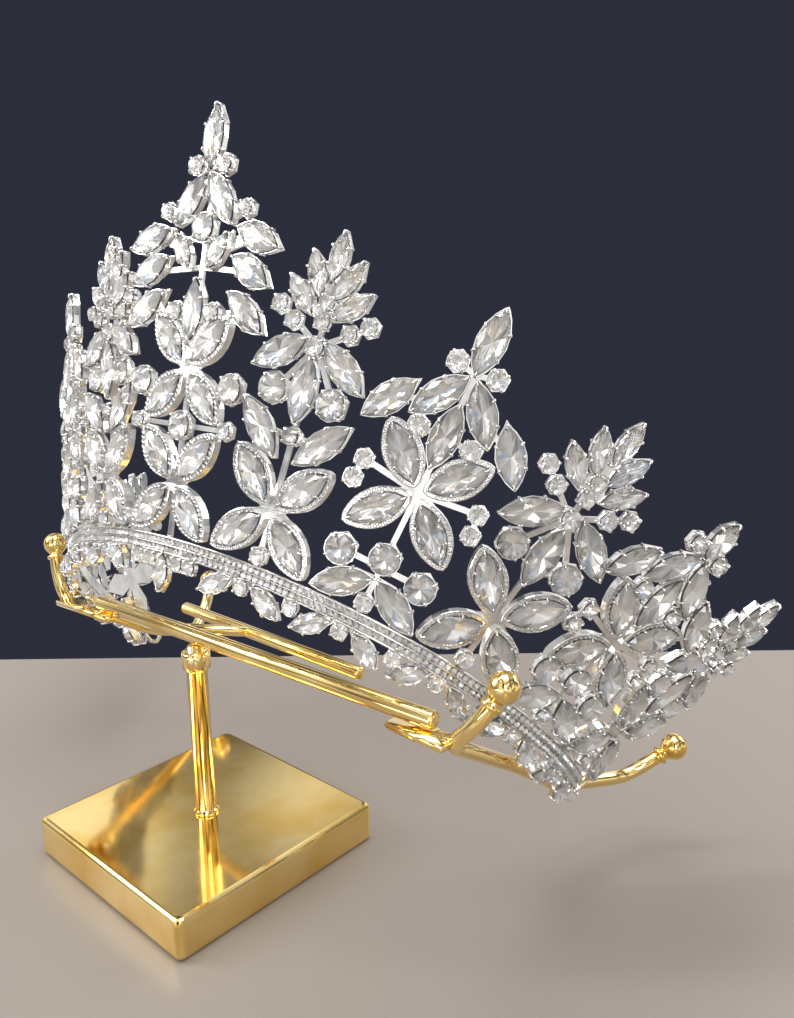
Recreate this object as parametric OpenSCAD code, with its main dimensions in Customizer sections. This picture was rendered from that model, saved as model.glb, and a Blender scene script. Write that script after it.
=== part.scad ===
/* [Crown] */
// Half of the crown's width across its widest line
band_side = 83; // [78:0.5:86]
// Depth of the band from its widest line to its front
band_front = 71; // [67:0.5:74]
// Outward lean of the wall from the band's axis, in degrees
flare = 32; // [28:1:36]
// Turn from one column of stones to the next, in degrees
column_turn = 18; // [17.5:0.1:18.5]
// How much higher the band stands at its front than at its sides
band_arch = 3; // [0:0.5:5]
// Thickness of the setting plates
plate_t = 0.8; // [0.7:0.1:1]
// Height of the rhinestone band with the hem below it
band_h = 3.6; // [3.2:0.1:4]

/* [Stones] */
// Width of the long navettes
long_w = 6.2; // [5.8:0.1:6.3]
// Width of the small navettes
leaf_w = 4.4; // [4:0.1:4.5]
// Diameter of the large rounds
large_d = 6.6; // [6:0.1:6.6]
// Diameter of the small rounds
round_d = 4.3; // [4:0.1:4.4]
// Gap between a stone's point and its plate
stone_gap = 0.15; // [0.1:0.05:0.3]
// Width of the halo around each petal
halo_w = 1; // [0.8:0.1:1.1]

/* [Seat on the stand] */
// Backward tilt of the crown, in degrees
crown_tilt = 45; // [44:0.5:46]
// Turn of the crown about the upright, in degrees
crown_turn = 7.5; // [6:0.5:9]
// Sideways lean of the crown, in degrees
crown_lean = 2; // [1:0.5:3]

/* [Stand] */
// Side of the square plate
plate_side = 64; // [60:1:70]
// Thickness of the square plate
plate_h = 11; // [10:0.5:12]
// Diameter of the upright rod
rod_d = 5.5; // [5:0.5:6]
// Height of the long bar's axis above the table
spine_z = 61.6; // [61.4:0.1:62]
// Diameter of the long bar
spine_d = 4.2; // [4:0.1:4.6]
// Diameter of the cross arms
arm_d = 3.6; // [3.2:0.1:4]
// Diameter of the balls that end the cross arms
ball_d = 7; // [6:0.5:7.5]

/* [Hidden] */
$fn = 48;

// centre of the band's oval, and how the crown sits on the stand
crown_at = [4.2, 35, 39.7];

// columns are numbered from the front, 0, to the two ends
last_column = 5;
columns = [-last_column : last_column];
// height of the flower in each fan column and each tip column, by distance from the front
flower_v = [41, 14.4, 30, 14.4, 26.5, 14];
// height of the hub of a fan column, or of the foot of a tip column's spire
top_v = [58.9, 51, 30, 41.2, 26.5, 39];
// sideways squeeze of what lies low in a column, where the oval is tighter
squeeze = [1, 1, 1, 0.98, 0.94, 0.92];
// middle height at which the columns' facing is taken
facing_v = 34;

// stone tables for the right half of a motif: foot x, foot y, tip x, tip y, from the motif's centre
fan_leaves = [[0, 14, 0, 24.3], [1.7, 10.2, 6, 19.2], [2.8, 6.3, 9.8, 13.2]];
tripod_legs = [[0, -2.6, 0, -16.8], [2.4, 1.1, 13.3, -7.1]];
spire_tip = [[0, 26.9, 0, 41.5], [1, 26, 8.8, 14.8]];
short_tip = [[0, 26.9, 0, 37], [1, 26, 8.8, 14.8]];
spire_inner = [[0, 6.1, 0, 20.2], [10.3, 20.8, 17.5, 9.9]];
front_inner = [[0, 6.1, 0, 20.2], [11, 17.3, 22, 8.8]];
front_outer = [[10.9, 7.3, 22, 1], [11.4, 13.8, 23.8, 9.2]];
front_leaves = [[8.1, 12.5, 3.4, 4.9]];
hub_vee = [[2.6, -25.1, 13, -14.4]];
band_vee = [[0.7, 9.4, 12, 2.6]];
pendants = [[-4.8, -3.2, -12, -8.2], [1, -3.3, 8.6, -7.8]];
front_pendant = [[0, -2.6, 0, -11.2]];
// petals run out from a flower's centre along its diagonals
petal_from = 2.5;
petal_to = 15.8;

// rounds: x, y from the motif's centre
fan_heart = [[3, 6], [1.8, 15]];
fan_large = [[7.2, -10.9]];
fan_small = [[0, 0]];
fan_tiny = [[6.9, 4.2], [10.9, 6.8]];
vee_tiny = [[0.2, -19.9]];
spire_small = [[4.5, 28.1]];
inner_small = [[6.1, 12.8]];
side_tiny = [[13.3, 1.6], [13.8, -3]];
band_tiny = [[0, 3.8]];
band_large = [[0, 14.4], [9.5, 12.2]];
front_large = [[0, 72.9], [0, 27.6], [14.8, 37.1]];
front_tiny = [[12.7, 77], [14.5, 27.7]];
// diameter of the plates of the smallest rounds
tiny_d = 3.8;

plate_rim = 0.49;
// turn of a round stone's six-sided plate
hex_turn = 26.09;
// width of a plate's straight sides, as a share of its stone's width, on each side of its line
plate_share = 0.39;
// how far a plate is drawn out at its foot to meet its neighbour
leaf_foot = 0.86;
spire_foot = 1.21;
leg_foot = 1.85;
// where the wide part of a petal's halo lies, and how narrow the flower's middle is
halo_reach = 0.51;
halo_waist = 0.35;
// height where a spire's stem ends, and where its cross wire runs
stem_v = 26.99;
cross_v = 19.53;
// wires of the front column, out to its outer leaves and its top rounds
outer_drop = 2.12;
outer_brace = [17, 71.2];
round_brace = [8, 75];
// web between the brace, the wire above it and the small leaf
brace_web = [[7.8, 71], [13.2, 70.5], [7.8, 68.4]];
// a pendant's plate, from its middle: root, shoulder and tip
pendant_root = 7;
pendant_shoulder = 2;
pendant_tip = 5;
girdle_z = 1.5;
table_z = 2.6;
table_share = 0.55;
sides = 8;
link_w = 1.18;
band_t = 1.4;
band_end = 98;
band_top = 1.2;
band_step = 9.8;
loop_r = 4.2;
loop_wire = 1;

// places on the stand
long_bar = [[-44, -1.5, spine_z], [77, 5, spine_z]];
rear_bar = [[-39, 24, 53.8], [37, 24, 53.8]];
rear_bar_d = 3.6;
bracket_x = -8;
bracket_d = 3;
base_bevel = 1.2;
collar_d = 7.4;
collar_h = 5;
neck_h = 1.4;
stand_gap = 0.1;
// each cross arm runs from its front ball, under the long bar's end, to its rear ball
near_arm = [[92, 8, 72.7], [88.5, 4.2, 65], [82, 3.5, 58.5], [79.2, 31, 41], [78.7, 52, 25.8],
    [86, 74, 21], [95, 84, 29]];
far_arm = [[-80.5, 5, 71], [-77.5, 3, 63], [-70, 1, 55.2], [-64.5, 28, 38.5], [-70, 48, 30.5],
    [-75, 58, 38], [-77, 61, 45]];
// the round at a bend stands a little proud of the rod
bend_share = 1.12;
// flat straps that carry the arms under the long bar's ends
strap_w = 6;
strap_t = 1.6;

function facing(phi) =
    let (rise = facing_v * sin(flare))
    atan2((band_front + rise) * sin(phi), (band_side + rise) * cos(phi));
function column_lean(phi) = asin(sin(flare) * sin(phi - facing(phi)));
function band_point(phi) = [band_side * sin(phi), -band_front * cos(phi), band_arch * cos(phi)];
function is_tip(k) = abs(k) % 2 == 0;
function row_mid(row) = [(row[0] + row[2]) / 2, (row[1] + row[3]) / 2];
function row_angle(row) = atan2(row[3] - row[1], row[2] - row[0]);
function row_length(row) = norm([row[2] - row[0], row[3] - row[1]]);
function navette_outline(l, w) = [for (i = [0 : sides - 1]) let (t = i * 360 / sides)
    [l / 2 * cos(t), w / 2 * sin(t) * abs(sin(t))]];
function round_outline(d) = [for (i = [0 : sides - 1]) let (t = (i + 0.5) * 360 / sides)
    [d / 2 * cos(t), d / 2 * sin(t)]];
function squeezed(rows, s) = [for (r = rows) [for (i = [0 : len(r) - 1]) i % 2 == 0 ? r[i] * s : r[i]]];
function moved(rows, v) = [for (r = rows) [for (i = [0 : len(r) - 1]) i % 2 == 0 ? r[i] : r[i] + v]];

// what each column holds, every row with its height above the band
function tip_rows(k) = !is_tip(k) ? [] : let (n = abs(k), v = top_v[n])
    concat(moved(n == 4 ? short_tip : spire_tip, v),
        n == 0 ? concat(moved(front_inner, flower_v[0]), moved(front_outer, v)) : moved(spire_inner, v));
function fan_rows(k) = !is_tip(k) ? moved(fan_leaves, top_v[abs(k)])
    : k == 0 ? moved(front_leaves, top_v[0]) : [];
function tripod_rows(k) = let (n = abs(k), s = squeeze[n])
    is_tip(k) ? (k == 0 ? [] : squeezed(band_vee, s))
        : concat(moved(tripod_legs, top_v[n]), n == 1 ? moved(hub_vee, top_v[n]) : []);
function pendant_rows(k) = k == 0 ? front_pendant : pendants;
function flower_heights(k) = k == 0 ? [flower_v[0], flower_v[1]] : [flower_v[abs(k)]];
function large_spots(k) = let (n = abs(k), s = squeeze[n])
    k == 0 ? front_large : is_tip(k) ? squeezed(band_large, s) : moved(fan_large, top_v[n]);
function small_spots(k) = let (n = abs(k), v = top_v[n])
    is_tip(k) ? concat(moved(spire_small, v), moved(inner_small, flower_v[n])) : moved(fan_small, v);
function tiny_spots(k) = let (n = abs(k), v = top_v[n], s = squeeze[n])
    concat(k == 0 ? front_tiny : is_tip(k) ? moved(squeezed(side_tiny, s), v)
        : concat(moved(fan_tiny, v), n == 1 ? moved(vee_tiny, v) : []),
        k == 0 ? [] : band_tiny);

// puts a motif drawn flat, x sideways and y up the wall, on its column
module on_column(k) {
    phi = k * column_turn;
    translate(band_point(phi))
        rotate([0, 0, facing(phi)])
            rotate([90 + flare, 0, 0])
                rotate([0, 0, -column_lean(phi)])
                    children();
}

module seated() {
    translate(crown_at)
        rotate([0, 0, crown_turn])
            rotate([-crown_tilt, 0, 0])
                rotate([0, crown_lean, 0])
                    children();
}

// one stone and its mirror image, or one alone where it stands on the column's own line
module both_sides(x) {
    children();
    if (x != 0)
        mirror([1, 0, 0]) children();
}

// cut stone: a table, a ring of crown facets and a ring of pavilion facets down to a point
module cut_stone(outline) {
    n = len(outline);
    girdle = [for (p = outline) [p[0], p[1], girdle_z]];
    table = [for (p = outline) [p[0] * table_share, p[1] * table_share, table_z]];
    hull()
        polyhedron(
            points = concat([[0, 0, stone_gap]], girdle, table),
            faces = concat(
                [for (i = [0 : n - 1]) [0, 1 + i, 1 + (i + 1) % n]],
                [for (i = [0 : n - 1]) [1 + i, 1 + n + i, 1 + n + (i + 1) % n, 1 + (i + 1) % n]],
                [[for (i = [n - 1 : -1 : 0]) 1 + n + i]]));
}

module navette_stone(row, w) {
    m = row_mid(row);
    both_sides(row[0] + row[2])
        translate([m[0], m[1], 0])
            rotate([0, 0, row_angle(row)])
                cut_stone(navette_outline(row_length(row), w));
}

module round_stone(spot, d) {
    both_sides(spot[0])
        translate([spot[0], spot[1], 0])
            cut_stone(round_outline(d));
}

module petal_stones(v) {
    for (a = [45 : 90 : 315])
        translate([0, v, 0])
            rotate([0, 0, a])
                translate([(petal_from + petal_to) / 2, 0, 0])
                    cut_stone(navette_outline(petal_to - petal_from, long_w));
}

// flat outline of the setting plate behind a navette, drawn out at its foot to meet its neighbour
module navette_plate(row, w, foot = plate_rim) {
    half = row_length(row) / 2;
    tip = half + plate_rim;
    h = w * plate_share;
    both_sides(row[0] + row[2])
        translate(row_mid(row))
            rotate(row_angle(row))
                polygon([[-half - foot, 0], [-half / 2, -h], [half / 2, -h],
                    [tip, 0], [half / 2, h], [-half / 2, h]]);
}

module round_plate(spot, d) {
    both_sides(spot[0])
        translate(spot)
            rotate(hex_turn)
                circle(d = d + 2 * plate_rim, $fn = 6);
}

// a flat wire from one place to another, mirrored
module link(from, to) {
    l = norm(to - from);
    both_sides(from[0] + to[0])
        translate(from)
            rotate(atan2(to[1] - from[1], to[0] - from[0]))
                translate([0, -link_w / 2])
                    square([l, link_w]);
}

module flower_plate(v) {
    reach = petal_to + halo_w;
    half = long_w / 2 + halo_w;
    wide = reach * halo_reach;
    waist = half * halo_waist;
    for (a = [45, 135])
        translate([0, v])
            rotate(a)
                polygon([[-reach, 0], [-wide, -half], [0, -waist], [wide, -half],
                    [reach, 0], [wide, half], [0, waist], [-wide, half]]);
}

// wires behind a fan's stones
module fan_plate(v) {
    low = fan_heart[0];
    high = fan_heart[1];
    translate([0, v]) polygon([low, high, [-high[0], high[1]], [-low[0], low[1]]]);
    for (row = moved(fan_leaves, v)) navette_plate(row, leaf_w, leaf_foot);
    for (row = moved(tripod_legs, v)) navette_plate(row, long_w, leg_foot);
    for (spot = moved(concat(fan_large, [fan_tiny[1]]), v)) link([0, v], spot);
}

module column_plate(k) {
    n = abs(k);
    s = squeeze[n];
    v = top_v[n];
    flower = flower_v[n];
    for (h = flower_heights(k)) flower_plate(h);
    for (spot = large_spots(k)) round_plate(spot, large_d);
    for (spot = small_spots(k)) round_plate(spot, round_d);
    for (spot = tiny_spots(k)) round_plate(spot, tiny_d);
    if (is_tip(k)) {
        for (row = tip_rows(k)) navette_plate(row, long_w, spire_foot);
        link([0, 0], [0, v + stem_v]);
        link([0, v + stem_v], spire_small[0] + [0, v]);
        link([0, flower + inner_small[0][1]],
            (k == 0 ? row_mid(front_inner[1]) : inner_small[0]) + [0, flower]);
    } else {
        fan_plate(v);
        link([0, 0], [0, v + fan_heart[0][1]]);
    }
    if (k == 0) {
        for (row = fan_rows(k)) navette_plate(row, leaf_w, spire_foot);
        for (row = moved(front_outer, v)) link([0, row[1] - outer_drop], row_mid(row));
        link(row_mid(fan_rows(k)[0]), outer_brace);
        link(round_brace, front_tiny[0]);
        both_sides(1) polygon(brace_web);
        for (spot = [front_large[2], front_tiny[1]]) link([0, spot[1]], spot);
    } else if (is_tip(k)) {
        for (row = tripod_rows(k)) navette_plate(row, long_w, spire_foot);
        link([5, v + cross_v], row_mid(spire_inner[1]) + [0, v]);
        link([0, v], [side_tiny[0][0] * s, v + side_tiny[0][1]]);
        link([side_tiny[0][0] * s, v + side_tiny[0][1]], [side_tiny[1][0] * s, v + side_tiny[1][1]]);
        link([0, band_large[1][1]], [band_large[1][0] * s, band_large[1][1]]);
    } else if (n == 1) {
        for (row = moved(hub_vee, v)) navette_plate(row, long_w);
        link([0, v + vee_tiny[0][1]], row_mid(moved(hub_vee, v)[0]));
    }
}

// plates of the stones below the band, each drawn up to the hem
module pendant_plate(k) {
    h = leaf_w * plate_share;
    mid = pendant_shoulder;
    mirror([k < 0 ? 1 : 0, 0])
        for (row = pendant_rows(k))
            translate(row_mid(row))
                rotate(row_angle(row))
                    polygon([[-pendant_root, 0], [-mid, -h], [mid, -h],
                        [pendant_tip, 0], [mid, h], [-mid, h]]);
}

module band_piece(phi) {
    translate(band_point(phi))
        rotate([0, 0, facing(phi)])
            rotate([90 + flare, 0, 0])
                translate([-0.05, band_top - band_h, -plate_t])
                    cube([0.1, band_h, band_t]);
}

module band() {
    for (phi = [-band_end : band_step : band_end - band_step])
        hull() {
            band_piece(phi);
            band_piece(phi + band_step);
        }
}

// wire loop at an end of the band, where a pin goes through
module end_loop(side) {
    phi = side * band_end;
    translate(band_point(phi))
        rotate([0, 0, facing(phi)])
            rotate([90 + flare, 0, 0])
                translate([side * (loop_r - 0.4), 0, -plate_t])
                    linear_extrude(loop_wire)
                        difference() {
                            circle(r = loop_r, $fn = sides);
                            circle(r = loop_r - loop_wire, $fn = sides);
                        }
}

module crown_frame() {
    color("silver")
        seated() {
            for (k = columns)
                on_column(k)
                    translate([0, 0, -plate_t])
                        linear_extrude(plate_t) {
                            column_plate(k);
                            pendant_plate(k);
                        }
            band();
            end_loop(-1);
            end_loop(1);
        }
}

module tip_navettes() {
    color("aliceblue")
        seated()
            for (k = columns)
                on_column(k)
                    for (row = tip_rows(k)) navette_stone(row, long_w);
}

module fan_navettes() {
    color("azure")
        seated()
            for (k = columns)
                on_column(k)
                    for (row = fan_rows(k)) navette_stone(row, leaf_w);
}

module tripod_navettes() {
    color("aliceblue")
        seated()
            for (k = columns)
                on_column(k)
                    for (row = tripod_rows(k)) navette_stone(row, long_w);
}

module petal_navettes() {
    color("lavender")
        seated()
            for (k = columns)
                on_column(k)
                    for (v = flower_heights(k)) petal_stones(v);
}

module pendant_navettes() {
    color("azure")
        seated()
            for (k = columns)
                on_column(k)
                    mirror([k < 0 ? 1 : 0, 0, 0])
                        for (row = pendant_rows(k))
                            translate([row_mid(row)[0], row_mid(row)[1], 0])
                                rotate([0, 0, row_angle(row)])
                                    cut_stone(navette_outline(row_length(row), leaf_w));
}

module large_rounds() {
    color("ghostwhite")
        seated()
            for (k = columns)
                on_column(k)
                    for (spot = large_spots(k)) round_stone(spot, large_d);
}

module small_rounds() {
    color("ghostwhite")
        seated()
            for (k = columns)
                on_column(k)
                    for (spot = small_spots(k)) round_stone(spot, round_d);
}

module rod_between(from, to, d) {
    v = to - from;
    translate(from)
        rotate([0, acos(v[2] / norm(v)), atan2(v[1], v[0])])
            cylinder(d = d, h = norm(v));
}

module stand_base() {
    side = plate_side - 2 * base_bevel;
    wall = plate_h - 2 * base_bevel;
    color("gold")
        union() {
            translate([-plate_side / 2, -side / 2, base_bevel]) cube([plate_side, side, wall]);
            translate([-side / 2, -plate_side / 2, base_bevel]) cube([side, plate_side, wall]);
            translate([-side / 2, -side / 2, 0]) cube([side, side, plate_h]);
            for (x = [-side / 2, side / 2])
                for (y = [-side / 2, side / 2])
                    translate([x, y, base_bevel]) cylinder(r = base_bevel, h = wall);
        }
}

module stand_rod() {
    foot_z = plate_h + stand_gap;
    top_z = spine_z - spine_d / 2 - stand_gap;
    color("gold")
        union() {
            translate([0, 0, foot_z]) cylinder(d = rod_d, h = top_z - foot_z - neck_h);
            translate([0, 0, top_z - collar_h - neck_h]) cylinder(d = collar_d, h = collar_h);
            translate([0, 0, top_z - 2 * neck_h]) cylinder(d = spine_d, h = 2 * neck_h);
        }
}

module stand_spine() {
    color("gold")
        rod_between(long_bar[0], long_bar[1], spine_d);
}

module stand_rear_bar() {
    from = [bracket_x, spine_d / 2 + stand_gap + 0.7, spine_z - 0.5];
    color("gold")
        union() {
            rod_between(rear_bar[0], rear_bar[1], rear_bar_d);
            rod_between(from, [bracket_x, rear_bar[0][1], rear_bar[0][2]], bracket_d);
        }
}

// flat strap from the long bar's underside to the arm's bend
module strap(from, to) {
    v = to - from;
    translate(from)
        rotate([0, 0, atan2(v[1], v[0])])
            rotate([0, atan2(-v[2], norm([v[0], v[1]])), 0])
                translate([0, -strap_w / 2, -strap_t / 2])
                    cube([norm(v), strap_w, strap_t]);
}

// a bent rod through its points, round at every bend, with a ball at each end
module cross_arm(points, strap_from) {
    last = len(points) - 1;
    color("gold")
        union() {
            strap(strap_from, points[2]);
            for (i = [1 : last])
                rod_between(points[i - 1], points[i], arm_d);
            for (i = [0 : last])
                translate(points[i])
                    sphere(d = i == 0 || i == last ? ball_d : arm_d * bend_share);
        }
}

module stand_arm_near() {
    cross_arm(near_arm, [66, 4.4, spine_z - spine_d / 2 - strap_t / 2 - stand_gap - 0.3]);
}

module stand_arm_far() {
    cross_arm(far_arm, [-38, -1.2, spine_z - spine_d / 2 - strap_t / 2 - stand_gap - 0.3]);
}

stand_base();
stand_rod();
stand_spine();
stand_rear_bar();
stand_arm_near();
stand_arm_far();
crown_frame();
tip_navettes();
fan_navettes();
tripod_navettes();
petal_navettes();
pendant_navettes();
large_rounds();
small_rounds();
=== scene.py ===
import math
import random
import bpy
from mathutils import Matrix, Vector


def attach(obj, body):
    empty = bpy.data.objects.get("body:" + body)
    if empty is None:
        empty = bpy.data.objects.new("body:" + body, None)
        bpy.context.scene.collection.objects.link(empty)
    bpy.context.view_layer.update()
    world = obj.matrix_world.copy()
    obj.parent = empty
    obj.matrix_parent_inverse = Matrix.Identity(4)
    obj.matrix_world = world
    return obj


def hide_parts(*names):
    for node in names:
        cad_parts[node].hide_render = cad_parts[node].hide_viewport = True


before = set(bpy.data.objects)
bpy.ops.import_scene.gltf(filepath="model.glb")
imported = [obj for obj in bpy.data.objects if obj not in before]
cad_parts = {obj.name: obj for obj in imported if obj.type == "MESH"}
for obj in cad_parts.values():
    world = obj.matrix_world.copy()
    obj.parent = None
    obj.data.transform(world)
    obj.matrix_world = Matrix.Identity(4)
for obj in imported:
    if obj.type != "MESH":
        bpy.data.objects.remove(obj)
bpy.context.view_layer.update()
print("frame loaded")

# the camera stands where the photograph was taken, with the same slight roll
cameraLook = {
    "place": (0.18391, -0.12553, 0.14921),
    "right": (0.74646, 0.66533, -0.01146),
    "up": (-0.1523, 0.18758, 0.97037),
    "back": (0.64777, -0.7226, 0.24135),
    "lens": 31.34,
    "sensor": 36,
}


def makeCamera():
    camera = bpy.data.cameras.new("camera")
    camera.sensor_width = cameraLook["sensor"]
    camera.lens = cameraLook["lens"]
    camera.clip_start = 0.005
    cameraObject = bpy.data.objects.new("camera", camera)
    axes = Matrix((cameraLook["right"], cameraLook["up"], cameraLook["back"])).transposed().to_4x4()
    cameraObject.matrix_world = Matrix.Translation(cameraLook["place"]) @ axes
    bpy.context.scene.collection.objects.link(cameraObject)
    bpy.context.scene.camera = cameraObject


makeCamera()
print("camera ready")


# finishes
def newFinish(name):
    finish = bpy.data.materials.new(name)
    finish.use_nodes = True
    return finish, finish.node_tree.nodes, finish.node_tree.links, finish.node_tree.nodes["Principled BSDF"]


def addNode(nodes, kind, place, **sockets):
    node = nodes.new(kind)
    node.location = place
    for name, value in sockets.items():
        node.inputs[name].default_value = value
    return node


def addRamp(nodes, place, stops):
    ramp = nodes.new("ShaderNodeValToRGB")
    ramp.location = place
    while len(ramp.color_ramp.elements) < len(stops):
        ramp.color_ramp.elements.new(0.5)
    for element, (at, colour) in zip(ramp.color_ramp.elements, stops):
        element.position = at
        element.color = (*colour, 1)
    return ramp


goldLook = {"deep": (0.86, 0.55, 0.13), "bright": (1.0, 0.76, 0.33), "low": 0.05, "high": 0.14}
silverLook = {"deep": (0.62, 0.61, 0.6), "bright": (0.93, 0.92, 0.9), "low": 0.1, "high": 0.28}
waveLook = {"finer": 5, "strength": 0.03, "height": 0.0001}


# polished plating, a little uneven in colour and gloss, with very shallow polishing waves
def platedMetal(name, look, scale):
    finish, nodes, links, metal = newFinish(name)
    metal.inputs["Metallic"].default_value = 1
    where = addNode(nodes, "ShaderNodeTexCoord", (-900, 0))
    cloud = addNode(nodes, "ShaderNodeTexNoise", (-700, 120), Scale=scale, Detail=3)
    wave = addNode(nodes, "ShaderNodeTexNoise", (-700, -220), Scale=scale * waveLook["finer"], Detail=2)
    tone = addRamp(nodes, (-460, 200), [(0.3, look["deep"]), (0.62, look["bright"])])
    gloss = addNode(nodes, "ShaderNodeMapRange", (-460, -40))
    gloss.inputs["To Min"].default_value = look["low"]
    gloss.inputs["To Max"].default_value = look["high"]
    bump = addNode(nodes, "ShaderNodeBump", (-300, -260), Strength=waveLook["strength"], Distance=waveLook["height"])
    links.new(where.outputs["Object"], cloud.inputs["Vector"])
    links.new(where.outputs["Object"], wave.inputs["Vector"])
    links.new(cloud.outputs["Fac"], tone.inputs["Fac"])
    links.new(cloud.outputs["Fac"], gloss.inputs["Value"])
    links.new(wave.outputs["Fac"], bump.inputs["Height"])
    links.new(tone.outputs["Color"], metal.inputs["Base Color"])
    links.new(gloss.outputs["Result"], metal.inputs["Roughness"])
    links.new(bump.outputs["Normal"], metal.inputs["Normal"])
    return finish


glassLook = {"tint": (0.985, 0.985, 0.98), "bend": 1.56, "gloss": 0.6}


# clear glass on the upper facets of a stone
def clearCrystal(name):
    finish, _, _, glass = newFinish(name)
    glass.inputs["Base Color"].default_value = (*glassLook["tint"], 1)
    glass.inputs["Transmission Weight"].default_value = 1
    glass.inputs["IOR"].default_value = glassLook["bend"]
    glass.inputs["Roughness"].default_value = 0
    glass.inputs["Specular IOR Level"].default_value = glassLook["gloss"]
    return finish


# the share of facets up to each painted tone: grey painted shade, pale, white painted highlight, then a warm and a
# blue painted flash of reflected colour
foilAndGlintLook = {
    "metal": 0.6,
    "rough": 0.1,
    "lightTones": [(0.0, (0.5, 0.49, 0.48)), (0.09, (0.8, 0.79, 0.78)), (0.24, (0.95, 0.94, 0.93)),
              (0.84, (1.0, 0.99, 0.98)),
              (0.88, (0.98, 0.9, 0.76)), (0.93, (0.7, 0.82, 0.99)), (0.97, (0.97, 0.97, 0.96))],
}


# mirror foil under a stone, each facet painted with its own random light or shade, and a few with a painted flash of
# colour
def paintedGlintFoil(name):
    finish, nodes, links, foil = newFinish(name)
    foil.inputs["Metallic"].default_value = foilAndGlintLook["metal"]
    foil.inputs["Roughness"].default_value = foilAndGlintLook["rough"]
    shade = nodes.new("ShaderNodeAttribute")
    shade.attribute_name = "facetPaintedGlint"
    shade.location = (-500, 100)
    tone = addRamp(nodes, (-280, 100), foilAndGlintLook["lightTones"])
    tone.color_ramp.interpolation = "CONSTANT"
    links.new(shade.outputs["Fac"], tone.inputs["Fac"])
    # the ramp paints each facet's glint or shade into the foil colour
    links.new(tone.outputs["Color"], foil.inputs["Base Color"])
    return finish


gold = platedMetal("goldPlate", goldLook, 60)
silver = platedMetal("silverPlate", silverLook, 180)
crystal = clearCrystal("clearCrystal")
foil = paintedGlintFoil("paintedGlintFoil")
print("finishes ready")

# the crown's own frame: millimetres, band's oval flat, wall leaning out
crownForm = {"bandSide": 83, "bandFront": 71, "flare": 32, "turn": 18, "arch": 3,
             "facingHeight": 34, "end": 98}
crownSeat = {"place": (4.2, 35, 39.7), "turn": 7.5, "tilt": 45, "lean": 2}
columns = range(-5, 6)


def turn(axis, degrees):
    return Matrix.Rotation(math.radians(degrees), 4, axis)


def seatMatrix():
    return (Matrix.Scale(0.001, 4) @ Matrix.Translation(crownSeat["place"]) @ turn("Z", crownSeat["turn"])
            @ turn("X", -crownSeat["tilt"]) @ turn("Y", crownSeat["lean"]))


def facing(phi):
    rise = crownForm["facingHeight"] * math.sin(math.radians(crownForm["flare"]))
    return math.degrees(math.atan2((crownForm["bandFront"] + rise) * math.sin(math.radians(phi)),
                                   (crownForm["bandSide"] + rise) * math.cos(math.radians(phi))))


def bandPoint(phi):
    angle = math.radians(phi)
    return Vector((crownForm["bandSide"] * math.sin(angle), -crownForm["bandFront"] * math.cos(angle),
                   crownForm["arch"] * math.cos(angle)))


def wallMatrix(phi, lean=0):
    return (seatMatrix() @ Matrix.Translation(bandPoint(phi)) @ turn("Z", facing(phi))
            @ turn("X", 90 + crownForm["flare"]) @ turn("Z", -lean))


def columnMatrix(k):
    phi = k * crownForm["turn"]
    slope = math.sin(math.radians(crownForm["flare"])) * math.sin(math.radians(phi - facing(phi)))
    return wallMatrix(phi, math.degrees(math.asin(slope)))


# what stands in each column, by its distance from the front
layout = {
    "flowerHeight": [41, 14.4, 30, 14.4, 26.5, 14],
    "topHeight": [58.9, 51, 30, 41.2, 26.5, 39],
    "squeeze": [1, 1, 1, 0.98, 0.94, 0.92],
    "fanLeaves": [(0, 14, 0, 24.3), (1.7, 10.2, 6, 19.2), (2.8, 6.3, 9.8, 13.2)],
    "tripodLegs": [(0, -2.6, 0, -16.8), (2.4, 1.1, 13.3, -7.1)],
    "spireTip": [(0, 26.9, 0, 41.5), (1, 26, 8.8, 14.8)],
    "shortTip": [(0, 26.9, 0, 37), (1, 26, 8.8, 14.8)],
    "spireInner": [(0, 6.1, 0, 20.2), (10.3, 20.8, 17.5, 9.9)],
    "frontInner": [(0, 6.1, 0, 20.2), (11, 17.3, 22, 8.8)],
    "frontOuter": [(10.9, 7.3, 22, 1), (11.4, 13.8, 23.8, 9.2)],
    "frontLeaves": [(8.1, 12.5, 3.4, 4.9)],
    "hubVee": [(2.6, -25.1, 13, -14.4)],
    "bandVee": [(0.7, 9.4, 12, 2.6)],
    "pendants": [(-4.8, -3.2, -12, -8.2), (1, -3.3, 8.6, -7.8)],
    "frontPendant": [(0, -2.6, 0, -11.2)],
    "petal": (2.5, 15.8),
    "fanLarge": [(7.2, -10.9)],
    "fanSmall": [(0, 0)],
    "fanTiny": [(0, 5.4), (0, 9.5), (6.9, 4.2), (10.9, 6.8)],
    "veeTiny": [(0.2, -19.9)],
    "spireSmall": [(4.5, 28.1)],
    "innerSmall": [(6.1, 12.8)],
    "sideTiny": [(13.3, 1.6), (13.8, -3)],
    "bandTiny": [(0, 3.8)],
    "bandLarge": [(0, 14.4), (9.5, 12.2)],
    "frontLarge": [(0, 72.9), (0, 27.6), (14.8, 37.1)],
    "frontTiny": [(12.7, 77), (14.5, 27.7)],
    "pendantTiny": [(-2, -4.2), (10.9, -4.2)],
    "frontPendantTiny": [(4.6, -4.2), (8.8, -4.2)],
}


def isTip(k):
    return k % 2 == 0


def lifted(rows, height, squeeze=1):
    return [tuple(n * squeeze if i % 2 == 0 else n + height for i, n in enumerate(row)) for row in rows]


# each row with its mirror image; a row on the column's own line stays alone
def bothSides(rows):
    done = []
    for row in rows:
        done.append(row)
        if sum(row[0::2]) != 0:
            done.append(tuple(-n if i % 2 == 0 else n for i, n in enumerate(row)))
    return done


def topOf(k):
    return layout["topHeight"][abs(k)]


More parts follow.
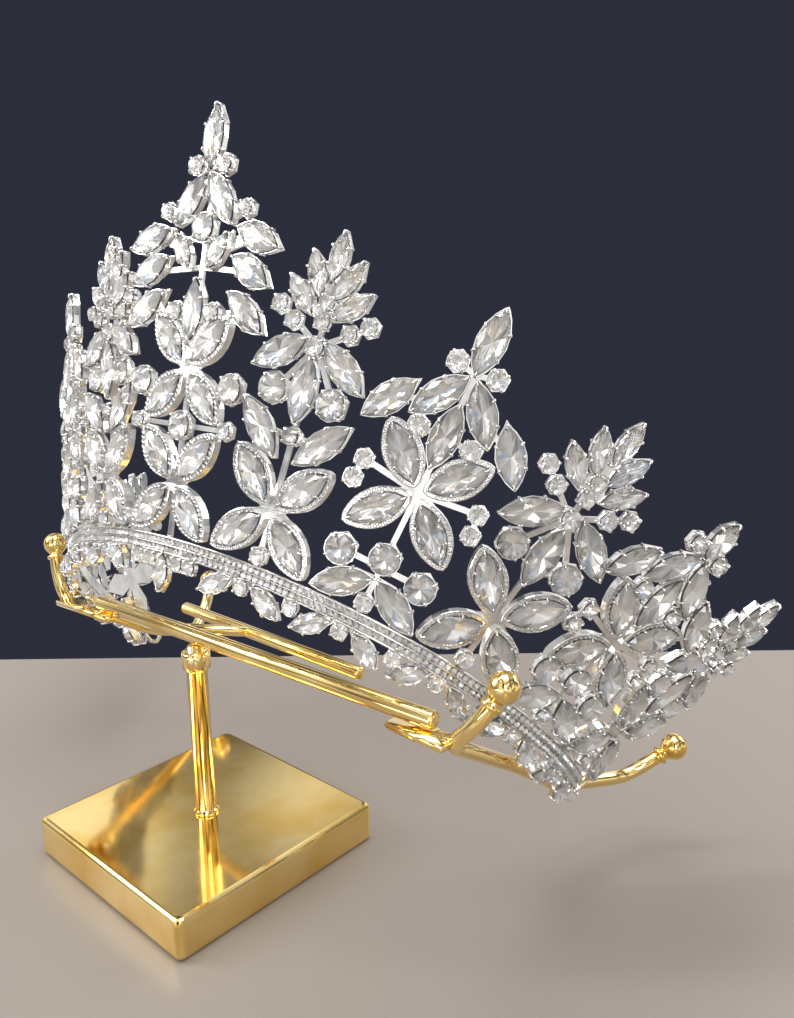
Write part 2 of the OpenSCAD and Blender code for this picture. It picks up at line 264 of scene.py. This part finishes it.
def tipRows(k):
    if not isTip(k):
        return []
    rows = lifted(layout["shortTip"] if abs(k) == 4 else layout["spireTip"], topOf(k))
    if k == 0:
        rows += lifted(layout["frontInner"], layout["flowerHeight"][0]) + lifted(layout["frontOuter"], topOf(0))
    else:
        rows += lifted(layout["spireInner"], topOf(k))
    return bothSides(rows)


def fanRows(k):
    if isTip(k):
        return bothSides(lifted(layout["frontLeaves"], topOf(0))) if k == 0 else []
    return bothSides(lifted(layout["fanLeaves"], topOf(k)))


def tripodRows(k):
    if isTip(k):
        return [] if k == 0 else bothSides(lifted(layout["bandVee"], 0, layout["squeeze"][abs(k)]))
    rows = lifted(layout["tripodLegs"], topOf(k))
    if abs(k) == 1:
        rows += lifted(layout["hubVee"], topOf(k))
    return bothSides(rows)


def flowerHeights(k):
    return layout["flowerHeight"][:2] if k == 0 else [layout["flowerHeight"][abs(k)]]


def petalRows(k):
    rows = []
    for height in flowerHeights(k):
        for corner in (45, 135, 225, 315):
            c, s = math.cos(math.radians(corner)), math.sin(math.radians(corner))
            near, far = layout["petal"]
            rows.append((near * c, height + near * s, far * c, height + far * s))
    return rows


def pendantRows(k):
    rows = layout["frontPendant"] if k == 0 else layout["pendants"]
    return [tuple(-n if i % 2 == 0 and k < 0 else n for i, n in enumerate(row)) for row in rows]


def largeSpots(k):
    if k == 0:
        return bothSides(layout["frontLarge"])
    if isTip(k):
        return bothSides(lifted(layout["bandLarge"], 0, layout["squeeze"][abs(k)]))
    return bothSides(lifted(layout["fanLarge"], topOf(k)))


def smallSpots(k):
    if isTip(k):
        inner = lifted(layout["innerSmall"], layout["flowerHeight"][abs(k)])
        return bothSides(lifted(layout["spireSmall"], topOf(k)) + inner)
    return bothSides(lifted(layout["fanSmall"], topOf(k)))


def tinySpots(k):
    if k == 0:
        return bothSides(layout["frontTiny"] + layout["frontPendantTiny"])
    spots = list(layout["bandTiny"])
    if isTip(k):
        spots += lifted(layout["sideTiny"], topOf(k), layout["squeeze"][abs(k)])
    else:
        spots += lifted(layout["fanTiny"], topOf(k))
        if abs(k) == 1:
            spots += lifted(layout["veeTiny"], topOf(k))
    side = 1 if k > 0 else -1
    return bothSides(spots) + [(side * x, y) for x, y in layout["pendantTiny"]]


# mesh parts are gathered first, and one object is made from each batch
class Batch:
    def __init__(self):
        self.points, self.faces, self.finishes, self.lightTones = [], [], [], []

    def add(self, matrix, points, faces, finishes=None, lightTones=None):
        start = len(self.points)
        self.points += [matrix @ Vector(p) for p in points]
        self.faces += [tuple(start + i for i in face) for face in faces]
        self.finishes += finishes or [0] * len(faces)
        # per-face values that pick each facet's painted glint or shade; 0.5 where nothing is painted
        self.lightTones += lightTones or [0.5] * len(faces)

    def piece(self, name, materials, nodes=(), slot=None, smooth=False):
        mesh = bpy.data.meshes.new(name)
        mesh.from_pydata(self.points, [], self.faces)
        for material in materials:
            mesh.materials.append(material)
        mesh.polygons.foreach_set("material_index", self.finishes)
        mesh.polygons.foreach_set("use_smooth", [smooth] * len(self.faces))
        # each face keeps its painted glint value for the foil finish to read
        tone = mesh.attributes.new("facetPaintedGlint", "FLOAT", "FACE")
        tone.data.foreach_set("value", self.lightTones)
        mesh.update()
        piece = bpy.data.objects.new(name, mesh)
        bpy.context.scene.collection.objects.link(piece)
        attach(piece, "root")
        if nodes:
            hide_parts(*nodes)
        print(name, len(self.faces), "faces")


# cut of a stone: share of the outline and height of each ring of points, in millimetres
cutLook = {"girdle": 1.5, "table": 2.75, "tableShare": 0.52, "starShare": 0.78, "starHeight": 2.3,
           "lowShare": 0.52, "lowHeight": 0.75, "culet": 0.12}
chipLook = {"sides": 8, "girdle": 0.5, "tableShare": 0.6}
navettePoint = 0.8  # higher values give a navette sharper ends
chance = random.Random(7)


def roundTrip(count):
    return [i * 2 * math.pi / count for i in range(count)]


def navetteOutline(length, width, count=16):
    return [(length / 2 * math.cos(t), width / 2 * math.sin(t) * abs(math.sin(t)) ** navettePoint)
            for t in roundTrip(count)]


def roundOutline(diameter, count=16):
    return [(diameter / 2 * math.cos(t), diameter / 2 * math.sin(t)) for t in roundTrip(count)]


# brilliant cut on any outline: eight star facets and kites above, mains and halves below
def cutStone(batch, matrix, outline, depth=1):
    look, count = cutLook, len(outline)
    half = count // 2

    def ring(share, height, first):
        return [(x * share, y * share, height * depth) for x, y in outline[first::2]]

    points = [(x, y, look["girdle"] * depth) for x, y in outline]
    table = len(points)
    points += ring(look["tableShare"], look["table"], 0)
    star = len(points)
    points += ring(look["starShare"], look["starHeight"], 1)
    low = len(points)
    points += ring(look["lowShare"], look["lowHeight"], 1)
    culet = len(points)
    points.append((0, 0, look["culet"] * depth))
    faces, finishes = [tuple(table + i for i in range(half))], [0]
    for i in range(half):
        j, before = (i + 1) % half, (i - 1) % half
        g, middle, nextG = 2 * i, 2 * i + 1, (2 * i + 2) % count
        faces += [(table + i, star + i, table + j), (star + i, table + i, g), (star + before, g, table + i),
                  (star + i, g, middle), (star + i, middle, nextG)]
        finishes += [0] * 5
        faces += [(low + i, middle, g), (low + i, nextG, middle), (culet, low + i, g), (culet, g, low + before)]
        finishes += [1] * 4
    # each facet gets a random value that picks its painted glint or shade
    batch.add(matrix, points, faces, finishes, [chance.random() for _ in faces])


# plain eight-sided cut for the smallest stones
def chipStone(batch, matrix, diameter, height):
    count, share = chipLook["sides"], chipLook["tableShare"]
    outline = roundOutline(diameter, count)
    points = [(x, y, height * chipLook["girdle"]) for x, y in outline]
    points += [(x * share, y * share, height) for x, y in outline] + [(0, 0, 0)]
    faces, finishes = [tuple(range(count, 2 * count))], [0]
    for i in range(count):
        j = (i + 1) % count
        faces += [(i, j, count + j, count + i), (2 * count, j, i)]
        finishes += [0, 1]
    # each facet gets a random value that picks its painted glint or shade
    batch.add(matrix, points, faces, finishes, [chance.random() for _ in faces])


# bent wire or claw: a closed tube through points, with a radius at each
def tube(batch, matrix, path, radii, sides):
    path = [Vector(p) for p in path]
    points, faces = [], []
    side = None
    for i, p in enumerate(path):
        along = (path[min(i + 1, len(path) - 1)] - path[max(i - 1, 0)]).normalized()
        if side is None:
            side = along.orthogonal().normalized()
        side = (side - along * side.dot(along)).normalized()
        other = along.cross(side)
        points += [p + (side * math.cos(t) + other * math.sin(t)) * radii[i] for t in roundTrip(sides)]
    for i in range(len(path) - 1):
        for n in range(sides):
            m = (n + 1) % sides
            faces.append((i * sides + n, i * sides + m, (i + 1) * sides + m, (i + 1) * sides + n))
    faces.append(tuple(reversed(range(sides))))
    faces.append(tuple((len(path) - 1) * sides + n for n in range(sides)))
    batch.add(matrix, points, faces)


def rowMatrix(matrix, row):
    x, y = (row[0] + row[2]) / 2, (row[1] + row[3]) / 2
    heading = math.degrees(math.atan2(row[3] - row[1], row[2] - row[0]))
    return matrix @ Matrix.Translation((x, y, 0)) @ turn("Z", heading)


def rowLength(row):
    return math.hypot(row[2] - row[0], row[3] - row[1])


# navettes of every kind, with the width that each kind has
navetteLook = {"long": 6.2, "leaf": 4.4}
navetteKinds = [
    ("tipNavettes", "tip_navettes", tipRows, "long"),
    ("fanNavettes", "fan_navettes", fanRows, "leaf"),
    ("tripodNavettes", "tripod_navettes", tripodRows, "long"),
    ("petalNavettes", "petal_navettes", petalRows, "long"),
    ("pendantNavettes", "pendant_navettes", pendantRows, "leaf"),
]
for name, node, rowsOf, width in navetteKinds:
    batch = Batch()
    for k in columns:
        for row in rowsOf(k):
            cutStone(batch, rowMatrix(columnMatrix(k), row), navetteOutline(rowLength(row), navetteLook[width]))
    batch.piece(name, [crystal, foil], [node], "crystal")

# round stones; the smallest ones have no CAD node
roundLook = {"large": 6.6, "small": 4.3, "tiny": 3.7}
roundDepth = {"large": 1, "small": 1, "tiny": 0.85}
roundKinds = [
    ("largeRounds", ["large_rounds"], largeSpots, "large"),
    ("smallRounds", ["small_rounds"], smallSpots, "small"),
    ("tinyRounds", [], tinySpots, "tiny"),
]
for name, nodes, spotsOf, size in roundKinds:
    batch = Batch()
    for k in columns:
        for spot in spotsOf(k):
            turned = columnMatrix(k) @ Matrix.Translation((*spot, 0)) @ turn("Z", chance.uniform(0, 45))
            cutStone(batch, turned, roundOutline(roundLook[size]), roundDepth[size])
    batch.piece(name, [crystal, foil], nodes, "crystal")
print("stones cut")

# claws that hold the stones, and the thin cup wall round each one
clawLook = {"radius": 0.3, "foot": -0.2, "top": 2.0, "out": 0.2, "bend": 0.72, "shoulder": 0.94, "hook": 0.12,
            "tip": 0.55, "sides": 6, "endReach": 1.0, "sideReach": 0.45, "roundReach": 0.5}
cupLook = {"foot": -0.3, "height": 1.15, "footGrow": 1.008, "lipGrow": 1.0815, "innerGrow": 1.029}


def claw(batch, matrix, x, y, top, reach):
    length = math.hypot(x, y)
    ux, uy, out = x / length, y / length, clawLook["out"]
    path = [(x + ux * out, y + uy * out, clawLook["foot"]), (x + ux * out, y + uy * out, top * clawLook["bend"]),
            (x, y, top * clawLook["shoulder"]), (x - ux * reach, y - uy * reach, top + clawLook["hook"])]
    r = clawLook["radius"]
    tube(batch, matrix, path, [r * 1.1, r * 1.1, r, r * clawLook["tip"]], clawLook["sides"])


# four-cornered faces between rings of points that follow each other
def wallFaces(count, rings):
    faces = []
    for low in range(0, (rings - 1) * count, count):
        for i in range(count):
            j = (i + 1) % count
            faces.append((low + i, low + j, low + count + j, low + count + i))
    return faces


def cup(batch, matrix, outline, height):
    rings = ((cupLook["footGrow"], cupLook["foot"]), (cupLook["lipGrow"], height), (cupLook["innerGrow"], height))
    points = [(x * grow, y * grow, z) for grow, z in rings for x, y in outline]
    batch.add(matrix, points, wallFaces(len(outline), len(rings)))


claws, cups = Batch(), Batch()
for k in columns:
    for _, _, rowsOf, width in navetteKinds:
        for row in rowsOf(k):
            place, length = rowMatrix(columnMatrix(k), row), rowLength(row)
            outline = navetteOutline(length, navetteLook[width])
            cup(cups, place, outline, cupLook["height"])
            claw(claws, place, length / 2, 0, clawLook["top"], clawLook["endReach"])
            claw(claws, place, -length / 2, 0, clawLook["top"], clawLook["endReach"])
            for x, y in (outline[3], outline[5], outline[11], outline[13]):
                claw(claws, place, x, y, clawLook["top"], clawLook["sideReach"])
    for _, _, spotsOf, size in roundKinds:
        for spot in spotsOf(k):
            place = columnMatrix(k) @ Matrix.Translation((*spot, 0))
            radius, depth = roundLook[size] / 2, roundDepth[size]
            cup(cups, place, roundOutline(radius * 2), cupLook["height"] * depth)
            for corner in (45, 135, 225, 315):
                x, y = radius * math.cos(math.radians(corner)), radius * math.sin(math.radians(corner))
                claw(claws, place, x, y, clawLook["top"] * depth, clawLook["roundReach"])
claws.piece("claws", [silver], slot="silver", smooth=True)
cups.piece("stoneCups", [silver], slot="silver")
print("settings made")

# rows of fine stones round every petal, set in a raised rim
haloLook = {"out": 0.62, "rim": 1.15, "height": 1.25, "foot": -0.75, "flat": 0.32, "shoulder": 0.9, "stone": 1.02,
            "pitch": 1.16, "stoneHeight": 0.62, "sunk": 0.2, "bare": 1.4}


def pushedOutline(outline, out):
    pushed = []
    for i, point in enumerate(outline):
        edge = (Vector(outline[(i + 1) % len(outline)]) - Vector(outline[i - 1])).normalized()
        pushed.append(Vector(point) + Vector((edge.y, -edge.x)) * out)
    return pushed


# points along an outline pushed outwards, evenly spaced
def spacedOutline(outline, out, pitch):
    count = len(outline)
    pushed = pushedOutline(outline, out)
    lengths = [(pushed[(i + 1) % count] - pushed[i]).length for i in range(count)]
    total = sum(lengths)
    number = max(6, round(total / pitch))
    spaced, i, walked = [], 0, 0
    for n in range(number):
        target = total * n / number
        while walked + lengths[i] < target:
            walked += lengths[i]
            i += 1
        spaced.append(pushed[i].lerp(pushed[(i + 1) % count], (target - walked) / lengths[i]))
    return spaced


# rounded rim, from its inner wall over the top to its outer foot
def rimBand(batch, matrix, outline):
    look = haloLook
    inner, outer = look["out"] - look["rim"] / 2, look["out"] + look["rim"] / 2
    flat, shoulder = look["rim"] * look["flat"], look["height"] * look["shoulder"]
    rings = ((inner, 0), (inner, shoulder), (look["out"] - flat, look["height"]),
             (look["out"] + flat, look["height"]), (outer, shoulder), (outer, look["foot"]))
    points = [(p.x, p.y, z) for push, z in rings for p in pushedOutline(outline, push)]
    batch.add(matrix, points, wallFaces(len(outline), len(rings)))


haloStones, haloRims = Batch(), Batch()
for k in columns:
    for row in petalRows(k):
        place = rowMatrix(columnMatrix(k), row)
        outline = navetteOutline(rowLength(row), navetteLook["long"], 24)
        rimBand(haloRims, place, outline)
        for p in spacedOutline(outline, haloLook["out"], haloLook["pitch"]):
            if p.x < -rowLength(row) / 2 + haloLook["bare"]:
                continue  # no fine stones at the flower's centre
            seat = Matrix.Translation((p.x, p.y, haloLook["height"] - haloLook["sunk"]))
            spot = place @ seat @ turn("Z", chance.uniform(0, 45))
            chipStone(haloStones, spot, haloLook["stone"], haloLook["stoneHeight"])
haloStones.piece("haloStones", [crystal, foil], slot="crystal")
haloRims.piece("haloRims", [silver], slot="silver")
print("petal halos set")

# the band: a silver channel with two rows of fine stones
bandLook = {"step": 1.55, "stone": 1.55, "rows": (0.45, -1.35), "height": 0.62, "stoneHeight": 0.85,
            "edge": 0.3, "edgePlaces": (1.35, -0.45, -2.25), "edgeHeight": 0.75, "edgeStep": 3, "edgeSides": 6}


def bandAngles(step):
    angles, phi = [], -crownForm["end"]
    while phi < crownForm["end"]:
        angles.append(phi)
        gap = (bandPoint(phi + 0.5) - bandPoint(phi)).length / 0.5
        phi += step / gap
    return angles


bandStones, bandEdges = Batch(), Batch()
for phi in bandAngles(bandLook["step"]):
    for row in bandLook["rows"]:
        spot = wallMatrix(phi) @ Matrix.Translation((0, row, bandLook["height"])) @ turn("Z", chance.uniform(0, 45))
        chipStone(bandStones, spot, bandLook["stone"], bandLook["stoneHeight"])
for place in bandLook["edgePlaces"]:
    path = [wallMatrix(phi) @ Vector((0, place, bandLook["edgeHeight"])) for phi in bandAngles(bandLook["edgeStep"])]
    tube(bandEdges, Matrix.Identity(4), path, [bandLook["edge"] * 0.001] * len(path), bandLook["edgeSides"])
bandStones.piece("bandStones", [crystal, foil], slot="crystal")
bandEdges.piece("bandEdges", [silver], slot="silver", smooth=True)
print("band set")

# the crown's frame keeps its CAD shape
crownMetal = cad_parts["crown_frame"].data.materials
crownMetal.clear()
crownMetal.append(silver)

# the stand, in millimetres in the row's frame
standScale = Matrix.Scale(0.001, 4)
plateLook = {"side": 64, "height": 11, "round": 1.4, "corner": 1.68, "steps": 4}


# square plate with rounded edges: stacked rounded squares, and a flat top and foot
def roundedSquare(half, radius, z, steps=5):
    points = []
    middle = half - radius
    for corner, (sx, sy) in enumerate(((1, 1), (-1, 1), (-1, -1), (1, -1))):
        for i in range(steps + 1):
            t = math.radians(corner * 90 + 90 * i / steps)
            points.append((sx * middle + radius * math.cos(t), sy * middle + radius * math.sin(t), z))
    return points


# closed body from rings of points, one above the other
def stacked(batch, rings):
    count = len(rings[0])
    points = [p for ring in rings for p in ring]
    faces = [tuple(reversed(range(count))), tuple((len(rings) - 1) * count + i for i in range(count))]
    batch.add(standScale, points, faces + wallFaces(count, len(rings)))


plate = Batch()
rings = []
half, edge, steps = plateLook["side"] / 2, plateLook["round"], plateLook["steps"]
for i in range(steps + 1):
    t = math.radians(90 * i / steps)
    rings.append(roundedSquare(half - edge * (1 - math.sin(t)), plateLook["corner"], edge * (1 - math.cos(t))))
for i in range(steps + 1):
    t = math.radians(90 * i / steps)
    height = plateLook["height"] - edge + edge * math.sin(t)
    rings.append(roundedSquare(half - edge * (1 - math.cos(t)), plateLook["corner"], height))
stacked(plate, rings)
plate.piece("basePlate", [gold], ["stand_base"], "gold")


# turned parts: pairs of radius and height round an axis between two places
def turned(batch, low, high, profile, sides=32):
    low, high = Vector(low), Vector(high)
    axis = (high - low).normalized()
    side = axis.orthogonal().normalized()
    other = axis.cross(side)
    rings = []
    for radius, along in profile:
        rings.append([low + axis * along + (side * math.cos(t) + other * math.sin(t)) * radius
                      for t in roundTrip(sides)])
    stacked(batch, rings)


def ballProfile(centre, radius, steps=14):
    profile = []
    for i in range(steps + 1):
        t = -math.pi / 2 + math.pi * i / steps
        profile.append((max(radius * math.cos(t), 0.02), centre + radius * math.sin(t)))
    return profile


rodLook = {"foot": 11.1, "top": 59.4, "radius": 2.75, "collar": 3.7, "collarHeight": 5,
           "neck": 1.4, "neckRadius": 2.1, "ring": 3.5}
upright = Batch()
top = rodLook["top"] - rodLook["foot"]
collarTop = top - rodLook["neck"]
collarFoot = collarTop - rodLook["collarHeight"]
r, c = rodLook["radius"], rodLook["collar"]
turned(upright, (0, 0, rodLook["foot"]), (0, 0, rodLook["top"]), [
    (rodLook["ring"], 0), (rodLook["ring"], 0.5), (r + 0.15, 0.9), (r, 1.2),
    (r, collarFoot - 0.4), (c - 0.5, collarFoot), (c, collarFoot + 0.4),
    (c, collarTop - 0.5), (c - 0.4, collarTop - 0.05),
    (rodLook["neckRadius"], collarTop), (rodLook["neckRadius"], top)])
upright.piece("uprightRod", [gold], ["stand_rod"], "gold", smooth=True)

barLook = {"radius": 2.1, "rear": 1.8, "bracket": 1.5, "long": ((-44, -1.5, 61.6), (77, 5, 61.6)),
           "rearEnds": ((-39, 24, 53.8), (37, 24, 53.8)), "bracketEnds": ((-8, 2.9, 61.1), (-8, 24, 53.8))}


def barWithEnds(batch, low, high, radius):
    length = (Vector(high) - Vector(low)).length
    turned(batch, low, high, [
        (radius * 0.6, 0), (radius * 0.9, radius * 0.15), (radius, radius * 0.4), (radius, length - radius * 0.4),
        (radius * 0.9, length - radius * 0.15), (radius * 0.6, length)], 24)


longBar, rearBar = Batch(), Batch()
barWithEnds(longBar, *barLook["long"], barLook["radius"])
longBar.piece("longBar", [gold], ["stand_spine"], "gold", smooth=True)
barWithEnds(rearBar, *barLook["rearEnds"], barLook["rear"])
barWithEnds(rearBar, *barLook["bracketEnds"], barLook["bracket"])
rearBar.piece("rearBar", [gold], ["stand_rear_bar"], "gold", smooth=True)

# the two bent arms, each with a ball and a small collar at its ends and a flat strap to the long bar
armLook = {
    "radius": 1.8, "ball": 3.5, "neck": 1.6, "collar": 2.5, "bend": 5, "sides": 20, "strapWide": 6, "strapThick": 1.6,
    "near": [(92, 8, 72.7), (88.5, 4.2, 65), (82, 3.5, 58.5), (79.2, 31, 41), (78.7, 52, 25.8), (86, 74, 21),
             (95, 84, 29)],
    "far": [(-80.5, 5, 71), (-77.5, 3, 63), (-70, 1, 55.2), (-64.5, 28, 38.5), (-70, 48, 30.5), (-75, 58, 38),
            (-77, 61, 45)],
    "nearStrap": (66, 4.4, 58.3),
    "farStrap": (-38, -1.2, 58.3),
}


# rounds each bend of a path between its straight runs
def rounded(points, radius, steps=7):
    points = [Vector(p) for p in points]
    path = [points[0]]
    for before, here, after in zip(points, points[1:], points[2:]):
        a, b = before - here, after - here
        cut = min(radius, a.length * 0.48, b.length * 0.48)
        start, end = here + a.normalized() * cut, here + b.normalized() * cut
        for i in range(steps + 1):
            t = i / steps
            path.append(start * (1 - t) ** 2 + here * 2 * t * (1 - t) + end * t * t)
    path.append(points[-1])
    return path


# flat strap with softened edges
def strapPart(batch, low, high, wide, thick):
    low, high = Vector(low), Vector(high)
    along = (high - low).normalized()
    side = along.cross(Vector((0, 0, 1))).normalized()
    up = side.cross(along)
    section = ((1, 0.4), (0.92, 1), (-0.92, 1), (-1, 0.4), (-1, -0.4), (-0.92, -1), (0.92, -1), (1, -0.4))
    rings = [[at + side * x * wide / 2 + up * y * thick / 2 for x, y in section] for at in (low, high)]
    stacked(batch, rings)


for name, node in (("near", "stand_arm_near"), ("far", "stand_arm_far")):
    arm = Batch()
    path = rounded(armLook[name], armLook["bend"])
    tube(arm, standScale, path, [armLook["radius"]] * len(path), armLook["sides"])
    for end, before in ((path[0], path[1]), (path[-1], path[-2])):
        out = (end - before).normalized()
        low = end - out * (armLook["ball"] + armLook["neck"])
        collar = [(armLook["radius"], 0), (armLook["collar"], 0.3), (armLook["collar"], 1.1),
                  (armLook["radius"] * 0.9, 1.5)]
        ball = ballProfile(armLook["ball"] + armLook["neck"], armLook["ball"])
        turned(arm, low, end + out * armLook["ball"], collar + ball[3:])
    strapPart(arm, armLook[name + "Strap"], armLook[name][2], armLook["strapWide"], armLook["strapThick"])
    arm.piece(name + "Arm", [gold], [node], "gold", smooth=True)
print("stand made")

# plain table, in metres; its far edge lies behind the stand, where the photograph's table ends
floorLook = {"half": 0.5, "near": -0.5, "far": 0.13, "along": (-0.6678, 0.7443), "colour": (0.27, 0.235, 0.205),
             "rough": 0.38}


def makeFloor():
    finish, _, _, top = newFinish("paleFloor")
    top.inputs["Base Color"].default_value = (*floorLook["colour"], 1)
    top.inputs["Roughness"].default_value = floorLook["rough"]
    ax, ay = floorLook["along"]
    corners = []
    for side, reach in ((-1, "near"), (1, "near"), (1, "far"), (-1, "far")):
        across, ahead = side * floorLook["half"], floorLook[reach]
        corners.append((ax * ahead + ay * across, ay * ahead - ax * across, 0))
    mesh = bpy.data.meshes.new("floor")
    mesh.from_pydata(corners, [], [(0, 1, 2, 3)])
    mesh.materials.append(finish)
    floor = bpy.data.objects.new("floor", mesh)
    bpy.context.scene.collection.objects.link(floor)


makeFloor()

# soft boxes: place, width and height in metres, power
lightLook = {
    "overhead": ((0.05, 0.1, 0.75), 0.55, 0.4, 3),
    "keyLeft": ((-0.55, -0.45, 0.55), 0.3, 0.45, 3),
    "frontRight": ((0.6, -0.5, 0.4), 0.12, 0.5, 2),
    "rear": ((0.3, 0.75, 0.45), 0.5, 0.2, 2),
    "lowFront": ((0.1, -0.7, 0.1), 0.5, 0.06, 0.7),
    "topStrip": ((-0.2, -0.15, 0.7), 0.06, 0.6, 1.5),
}
lightAim = Vector((0, 0.03, 0.08))


def makeLights():
    for name, (place, width, height, power) in lightLook.items():
        light = bpy.data.lights.new(name, "AREA")
        light.shape = "RECTANGLE"
        light.size, light.size_y, light.energy = width, height, power
        lamp = bpy.data.objects.new(name, light)
        lamp.location = place
        lamp.rotation_mode = "QUATERNION"
        lamp.rotation_quaternion = (Vector(place) - lightAim).to_track_quat("Z", "Y")
        lamp.visible_camera = False
        bpy.context.scene.collection.objects.link(lamp)


worldLook = {
    "patch": 2.6,
    "lightTones": [(0.36, (0.07, 0.072, 0.08)), (0.47, (0.5, 0.5, 0.51)), (0.58, (1.35, 1.33, 1.3))],
    "backdrop": (0.032, 0.036, 0.055),
    "strength": 0.8,
}


# studio air: a plain dark backdrop to the camera, and light and dark patches for the stones to mirror
def makeWorld():
    world = bpy.data.worlds.new("studio")
    world.use_nodes = True
    nodes, links = world.node_tree.nodes, world.node_tree.links
    back = nodes["Background"]
    where = nodes.new("ShaderNodeTexCoord")
    patches = addNode(nodes, "ShaderNodeTexNoise", (-600, 0), Scale=worldLook["patch"], Detail=1)
    tone = addRamp(nodes, (-350, 0), worldLook["lightTones"])
    plain = nodes.new("ShaderNodeMix")
    plain.data_type = "RGBA"
    plain.inputs["B"].default_value = (*worldLook["backdrop"], 1)
    path = nodes.new("ShaderNodeLightPath")
    links.new(where.outputs["Generated"], patches.inputs["Vector"])
    links.new(patches.outputs["Fac"], tone.inputs["Fac"])
    links.new(tone.outputs["Color"], plain.inputs["A"])
    links.new(path.outputs["Is Camera Ray"], plain.inputs["Factor"])
    links.new(plain.outputs["Result"], back.inputs["Color"])
    back.inputs["Strength"].default_value = worldLook["strength"]
    bpy.context.scene.world = world


makeLights()
makeWorld()
bpy.context.scene.view_settings.view_transform = "Standard"
print("studio lit")
